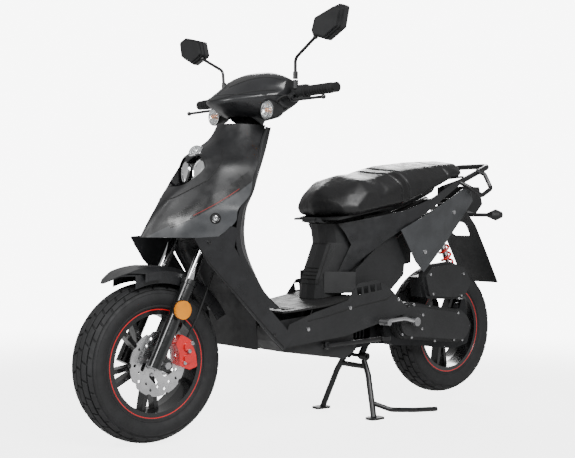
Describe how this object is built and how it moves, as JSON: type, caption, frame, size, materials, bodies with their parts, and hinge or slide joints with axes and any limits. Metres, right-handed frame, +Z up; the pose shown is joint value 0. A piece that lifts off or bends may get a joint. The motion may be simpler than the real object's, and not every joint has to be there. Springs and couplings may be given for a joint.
{
  "type": "moped scooter",
  "caption": "Step-through moped scooter with twin oval headlamps, two-level seat, grab rail, belt-drive engine unit and chunky tyres, parked on its centre stand.",
  "frame": {"origin": "on the ground, half way along the scooter, on its centre plane", "axes": "+X forward, +Y to the rider's left, +Z up"},
  "size_m": [1.7518, 0.829, 1.2896],
  "materials": {
    "frame_paint": "satin",
    "body_plastic": "satin",
    "tail_plastic": "satin",
    "black_plastic": "matte",
    "buttons": "satin",
    "lamps": "gloss",
    "clear_lens": "gloss",
    "amber": "gloss",
    "grip_rubber": "matte",
    "tyre": "matte",
    "wheel_paint": "satin",
    "fork_paint": "satin",
    "chrome": "polished",
    "steel": "satin",
    "alloy": "satin",
    "red_paint": "gloss",
    "red_spring": "gloss",
    "mirror_glass": "polished",
    "seat_vinyl": "satin"
  },
  "bodies": {
    "chassis": {"main_frame": "frame_paint", "front_shield": "body_plastic", "headlamp_housing": "black_plastic", "headlamp_lenses": "clear_lens", "leg_shield": "body_plastic", "leg_side_covers": "body_plastic", "inner_fender": "black_plastic", "floorboard": "black_plastic", "belly_pan": "black_plastic", "lower_side_covers": "body_plastic", "seat_post_cover": "black_plastic", "side_panels": "body_plastic", "tail_panels": "tail_plastic", "rear_mudguard": "black_plastic", "grab_rail": "frame_paint", "rear_lamps": "lamps", "storage_bucket": "black_plastic"},
    "ignition": {"ignition_key": "steel"},
    "steering": {"steering_stem": "frame_paint", "fork_stanchions": "chrome", "handlebar": "frame_paint", "switch_housings": "black_plastic", "bar_cover_upper": "body_plastic", "bar_cover_lower": "body_plastic", "instrument_cluster": "black_plastic", "indicator_lenses": "clear_lens", "left_grip": "grip_rubber", "mirror_stems": "frame_paint"},
    "throttle": {"throttle_grip": "grip_rubber"},
    "left_lever": {"left_brake_lever": "alloy"},
    "right_lever": {"right_brake_lever": "alloy"},
    "horn": {"horn_button": "buttons"},
    "starter": {"starter_button": "buttons"},
    "left_mirror": {"left_mirror_head": "black_plastic", "left_mirror_glass": "mirror_glass"},
    "right_mirror": {"right_mirror_head": "black_plastic", "right_mirror_glass": "mirror_glass"},
    "fork_lower": {"fork_sliders": "fork_paint", "front_axle": "steel", "front_fender": "body_plastic", "brake_caliper": "red_paint", "reflectors": "amber", "brake_hose": "grip_rubber"},
    "front_wheel": {"front_rim": "wheel_paint", "front_tyre": "tyre", "brake_disc": "steel"},
    "engine_unit": {"engine_case": "alloy", "cvt_cover": "black_plastic", "air_filter_box": "black_plastic", "exhaust": "frame_paint"},
    "rear_wheel": {"rear_rim": "wheel_paint", "rear_tyre": "tyre"},
    "kick": {"kick_lever": "steel"},
    "shock_upper": {"shock_body": "chrome", "shock_spring": "red_spring"},
    "shock_lower": {"shock_rod": "chrome"},
    "main_stand": {"centre_stand": "frame_paint"},
    "prop_stand": {"side_stand": "frame_paint"},
    "seat": {"seat_cushion": "seat_vinyl", "seat_base": "black_plastic"}
  },
  "joints": [
    {"name": "steering_turn", "type": "hinge", "parent": "chassis", "child": "steering", "pos_m": [0.43764, 0, 0.62916], "axis": [-0.4384, 0, 0.8988], "range_deg": [-35, 35]},
    {"name": "fork_travel", "type": "slide", "parent": "steering", "child": "fork_lower", "axis": [-0.4384, 0, 0.8988], "range_m": [0, 0.06], "stiffness_N_per_m": 7000, "springref_m": -0.06},
    {"name": "front_wheel_spin", "type": "hinge", "parent": "fork_lower", "child": "front_wheel", "pos_m": [0.6395, 0, 0.2364], "axis": [0, 1, 0], "continuous": true},
    {"name": "rear_suspension", "type": "hinge", "parent": "chassis", "child": "engine_unit", "pos_m": [-0.13, 0, 0.24], "axis": [0, 1, 0], "range_deg": [0, 7], "stiffness_Nm_per_rad": 500, "springref_deg": -22.92},
    {"name": "rear_wheel_spin", "type": "hinge", "parent": "engine_unit", "child": "rear_wheel", "pos_m": [-0.6395, 0, 0.2734], "axis": [0, 1, 0], "continuous": true},
    {"name": "kick_turn", "type": "hinge", "parent": "engine_unit", "child": "kick", "pos_m": [-0.33, 0.17, 0.322], "axis": [0, 1, 0], "range_deg": [0, 50], "stiffness_Nm_per_rad": 4, "springref_deg": -28.65},
    {"name": "shock_swing", "type": "hinge", "parent": "chassis", "child": "shock_upper", "pos_m": [-0.52, 0.088, 0.652], "axis": [0, 1, 0], "range_deg": [0, 2.3]},
    {"name": "shock_travel", "type": "slide", "parent": "shock_upper", "child": "shock_lower", "axis": [0.4236, 0, 0.9058], "range_m": [0, 0.067], "deforming": ["shock_spring"]},
    {"name": "centre_stand_fold", "type": "hinge", "parent": "engine_unit", "child": "main_stand", "pos_m": [-0.205, 0, 0.2], "axis": [0, 1, 0], "range_deg": [0, 75]},
    {"name": "side_stand_swing", "type": "hinge", "parent": "chassis", "child": "prop_stand", "pos_m": [0.062, 0.15, 0.262], "axis": [0, -0.8829, -0.4695], "range_deg": [0, 100], "stiffness_Nm_per_rad": 1.5, "springref_deg": -68.75},
    {"name": "seat_lift", "type": "hinge", "parent": "chassis", "child": "seat", "pos_m": [0.006, 0, 0.664], "axis": [0, 1, 0], "range_deg": [0, 60]},
    {"name": "throttle_turn", "type": "hinge", "parent": "steering", "child": "throttle", "pos_m": [0.21777, -0.288, 1.05486], "axis": [0, -1, 0], "range_deg": [0, 80], "stiffness_Nm_per_rad": 0.3, "springref_deg": -22.92},
    {"name": "left_lever_pull", "type": "hinge", "parent": "steering", "child": "left_lever", "pos_m": [0.24762, 0.174, 1.03472], "axis": [0.5592, 0, 0.829], "range_deg": [0, 11], "stiffness_Nm_per_rad": 2, "springref_deg": -17.19},
    {"name": "right_lever_pull", "type": "hinge", "parent": "steering", "child": "right_lever", "pos_m": [0.24762, -0.174, 1.03472], "axis": [-0.5592, 0, -0.829], "range_deg": [0, 11], "stiffness_Nm_per_rad": 2, "springref_deg": -17.19},
    {"name": "horn_push", "type": "slide", "parent": "steering", "child": "horn", "axis": [0.9703, 0, -0.2419], "range_m": [0, 0.0025], "stiffness_N_per_m": 400, "springref_m": -0.002},
    {"name": "starter_push", "type": "slide", "parent": "steering", "child": "starter", "axis": [0.9703, 0, -0.2419], "range_m": [0, 0.0025], "stiffness_N_per_m": 400, "springref_m": -0.002},
    {"name": "left_mirror_swivel", "type": "hinge", "parent": "steering", "child": "left_mirror", "pos_m": [0.252, 0.288, 1.206], "axis": [0, 0, 1], "range_deg": [-15, 15]},
    {"name": "right_mirror_swivel", "type": "hinge", "parent": "steering", "child": "right_mirror", "pos_m": [0.252, -0.288, 1.206], "axis": [0, 0, 1], "range_deg": [-15, 15]},
    {"name": "key_turn", "type": "hinge", "parent": "chassis", "child": "ignition", "pos_m": [0.268, -0.044, 0.88], "axis": [-0.9806, 0, 0.1961], "range_deg": [0, 45]}
  ],
  "couplings": [
    {"joint": "shock_swing", "follows": "rear_suspension", "ratio": 0.27463},
    {"joint": "shock_travel", "follows": "rear_suspension", "m_per_rad": 0.53141}
  ]
}
